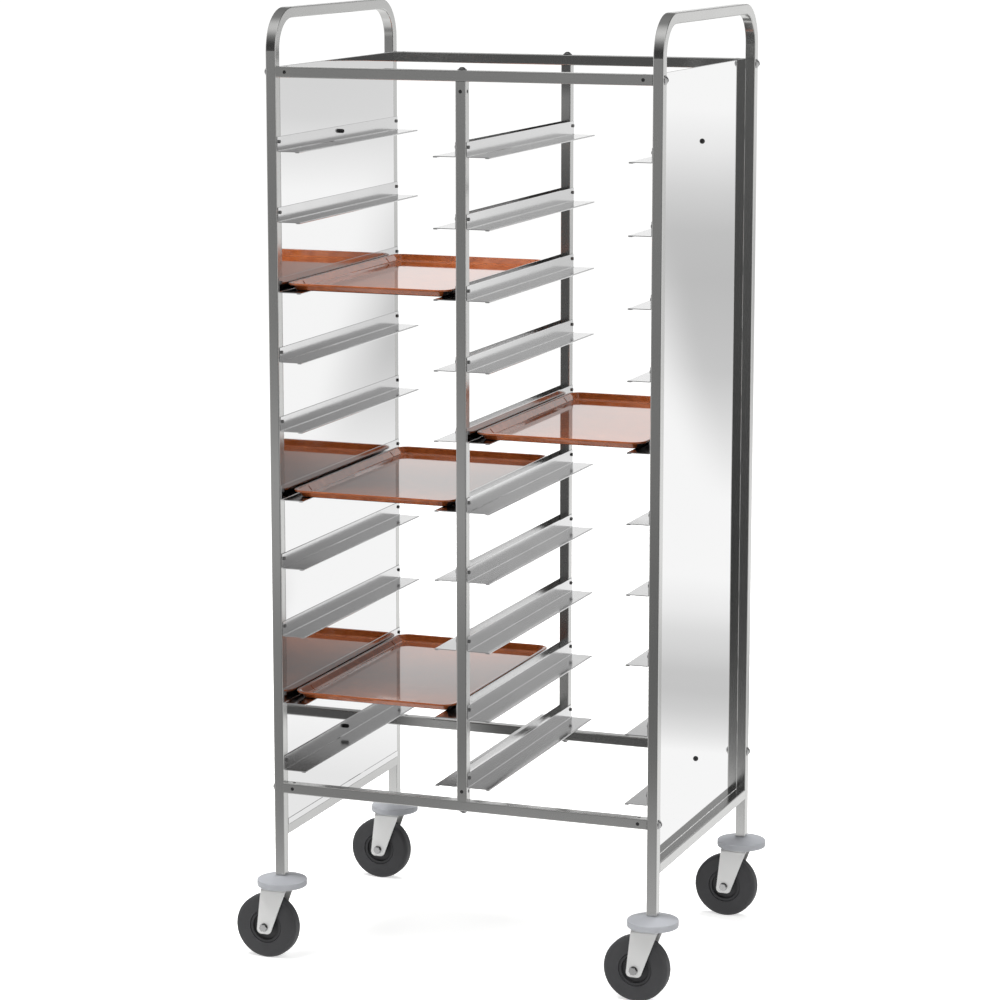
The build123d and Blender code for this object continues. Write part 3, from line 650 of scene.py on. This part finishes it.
def studioWorld():
    world = bpy.data.worlds.new("studioWorld")
    bpy.context.scene.world = world
    world.use_nodes = True
    tree = world.node_tree
    tree.nodes.clear()
    path = addNode(tree, "ShaderNodeLightPath")
    coords = addNode(tree, "ShaderNodeTexCoord")
    aim = addNode(tree, "ShaderNodeSeparateXYZ", {}, {"Vector": coords.outputs["Generated"]})
    band = {}
    for name in ("backLeft", "rightAcross", "rightUp", "lampAcross", "lampUp", "front"):
        axis, stops = skyTone[name]
        ramp = addNode(tree, "ShaderNodeValToRGB", {}, {"Fac": aim.outputs[axis]})
        setRamp(ramp, stops)
        band[name] = ramp.outputs["Color"]
    share = {}
    for name, axis in (("rightward", "X"), ("rearward", "Y")):
        span = addNode(tree, "ShaderNodeMapRange", {"interpolation_type": "SMOOTHSTEP"},
                       {"Value": aim.outputs[axis], "From Min": skyTone[name][0],
                        "From Max": skyTone[name][1]})
        share[name] = span.outputs["Result"]
    backRight = addNode(tree, "ShaderNodeMix", {"data_type": "RGBA", "blend_type": "MULTIPLY"},
                        {"Factor": 1.0, "A": band["rightAcross"], "B": band["rightUp"]})
    behind = addNode(tree, "ShaderNodeMix", {"data_type": "RGBA"},
                     {"Factor": share["rightward"], "A": band["backLeft"], "B": backRight.outputs["Result"]})
    lamp = addNode(tree, "ShaderNodeMix", {"data_type": "RGBA", "blend_type": "MULTIPLY"},
                   {"Factor": 1.0, "A": band["lampAcross"], "B": band["lampUp"]})
    behindLit = addNode(tree, "ShaderNodeMix", {"data_type": "RGBA", "blend_type": "LIGHTEN"},
                        {"Factor": 1.0, "A": behind.outputs["Result"], "B": lamp.outputs["Result"]})
    slant = addNode(tree, "ShaderNodeMath", {"operation": "DIVIDE"},
                    {0: aim.outputs["X"], 1: aim.outputs["Y"]})
    frontAll = brightAside(tree, slant, band["front"])
    tone = addNode(tree, "ShaderNodeMix", {"data_type": "RGBA"},
                   {"Factor": share["rearward"], "A": frontAll.outputs["Result"],
                    "B": behindLit.outputs["Result"]})
    seen = addNode(tree, "ShaderNodeBackground", {}, {"Color": white})
    around = addNode(tree, "ShaderNodeBackground", {},
                     {"Color": tone.outputs["Result"], "Strength": studio["backdrop"]})
    soft = addNode(tree, "ShaderNodeBackground", {}, {"Color": white, "Strength": studio["ambient"]})
    clear = addNode(tree, "ShaderNodeMath", {"operation": "MAXIMUM"},
                    {0: path.outputs["Is Glossy Ray"], 1: path.outputs["Is Transmission Ray"]})
    first = addNode(tree, "ShaderNodeMixShader", {},
                    {0: clear.outputs[0], 1: soft.outputs[0], 2: around.outputs[0]})
    last = addNode(tree, "ShaderNodeMixShader", {},
                   {0: path.outputs["Is Camera Ray"], 1: first.outputs[0], 2: seen.outputs[0]})
    addNode(tree, "ShaderNodeOutputWorld", {}, {"Surface": last.outputs[0]})


softboxes = {
    "keySoftbox": dict(place=(-1.2, -1.4, 4.8), aim=(0, 0, 0.6), size=2.4, power=175),
    "fillSoftbox": dict(place=(2.6, -2.2, 3.6), aim=(0, 0, 0.6), size=2.4, power=45),
    "backSoftbox": dict(place=(0.3, 1.6, 4.8), aim=(0, 0, 0.6), size=2.6, power=160),
}


def studioLights():
    for name, box in softboxes.items():
        clearSelection()
        bpy.ops.object.light_add(type="AREA", location=box["place"])
        light = bpy.context.object
        light.name = name
        light.data.shape = "SQUARE"
        light.data.size = box["size"]
        light.data.energy = box["power"]
        aim = Vector(box["aim"]) - Vector(box["place"])
        light.rotation_euler = aim.to_track_quat("-Z", "Y").to_euler()
        light.visible_glossy = False  # metal mirrors the studio around it, not the lamps


# angles are in radians, the focal length and the frame's width in pixels, and the sensor in millimetres
camera = dict(place=(2.27645, -6.0852, 2.0632), yaw=-0.3597, pitch=-0.1813, focal=3425.2, frameWidth=1000,
              sensor=36, clipEnd=500)
# plane is where the cards stand along Y, and core and edge are where a card begins and ends to thin out
flags = dict(grey=0.11, plane=0.02, width=0.15, core=0.3, edge=0.5, upright=-math.pi / 2)
bendCards = {  # these two stand below the bend of the right handle, and paint a dark reflection on it
    "bendFlagUpright": dict(place=Vector((0.29, 0.02, 1.62)), turn=flags["upright"], size=(0.18, 0.4, 1)),
    "bendFlagLevel": dict(place=Vector((0.29, 0.17, 1.45)), turn=0, size=(0.18, 0.26, 1)),
}


def studioFlags():  # painted reflection: dark cards, seen only in reflections, for the front faces of the rear tubes to mirror
    # from behind, the right panel's inner face and some shelves mirror them too
    cards = dict(bendCards)
    for node in ("rear_top_rail", "rear_bottom_rail", "rear_centre_post"):
        low, high = boxOf(node)
        face = (low + high) / 2
        away = (face - Vector(camera["place"])).normalized()
        away.y = -away.y  # the way in which the tube's front face mirrors the camera's view of it
        place = face + away * ((flags["plane"] - face.y) / away.y)
        size = (max(high.x - low.x, flags["width"]), max(high.z - low.z, flags["width"]), 1)
        if size[0] > size[1]:
            place.x = face.x  # a rail's card stays between the two panels
        cards["flag" + camelWords(node.split("_"))] = dict(place=place, turn=flags["upright"], size=size)
    # the cards cast no shadow or light and the camera doesn't see them: they only paint dark reflections
    material, tree = startMaterial("black studio flag")
    coords = addNode(tree, "ShaderNodeTexCoord")
    across = addNode(tree, "ShaderNodeSeparateXYZ", {}, {"Vector": coords.outputs["UV"]})
    hidden = addNode(tree, "ShaderNodeNewGeometry").outputs["Backfacing"]
    for axis in ("X", "Y"):  # each card thins out towards its edges, and is seen from one side
        off = addNode(tree, "ShaderNodeMath", {"operation": "SUBTRACT"}, {0: across.outputs[axis], 1: 0.5})
        apart = addNode(tree, "ShaderNodeMath", {"operation": "ABSOLUTE"}, {0: off.outputs[0]})
        thin = addNode(tree, "ShaderNodeMapRange", {"interpolation_type": "SMOOTHSTEP"},
                       {"Value": apart.outputs[0], "From Min": flags["core"], "From Max": flags["edge"]})
        most = addNode(tree, "ShaderNodeMath", {"operation": "MAXIMUM"},
                       {0: hidden, 1: thin.outputs["Result"]})
        hidden = most.outputs[0]
    dark = addNode(tree, "ShaderNodeEmission", {}, {"Strength": flags["grey"]})
    through = addNode(tree, "ShaderNodeBsdfTransparent")
    shader = addNode(tree, "ShaderNodeMixShader", {}, {0: hidden, 1: dark.outputs[0], 2: through.outputs[0]})
    endMaterial(tree, shader.outputs[0])
    for name, card in cards.items():
        clearSelection()
        bpy.ops.mesh.primitive_plane_add(size=1, location=card["place"], rotation=(card["turn"], 0, 0))
        flag = bpy.context.object
        flag.name = name
        flag.scale = card["size"]
        bpy.ops.object.transform_apply(location=True, rotation=True, scale=True)
        flag.data.materials.append(material)
        flag.visible_camera = False
        flag.visible_diffuse = False
        flag.visible_transmission = False
        flag.visible_shadow = False


studioFloor()
studioWorld()
studioLights()
studioFlags()

bpy.ops.object.camera_add(location=camera["place"])
cameraObject = bpy.context.object
turn = Matrix.Rotation(-camera["yaw"], 3, "Z") @ Matrix.Rotation(math.pi / 2 + camera["pitch"], 3, "X")
cameraObject.rotation_euler = turn.to_euler()
cameraObject.data.sensor_width = camera["sensor"]
cameraObject.data.lens = camera["focal"] / camera["frameWidth"] * camera["sensor"]
cameraObject.data.clip_end = camera["clipEnd"]
bpy.context.scene.camera = cameraObject
bpy.context.scene.view_settings.view_transform = "Standard"
print("studio and camera ready")
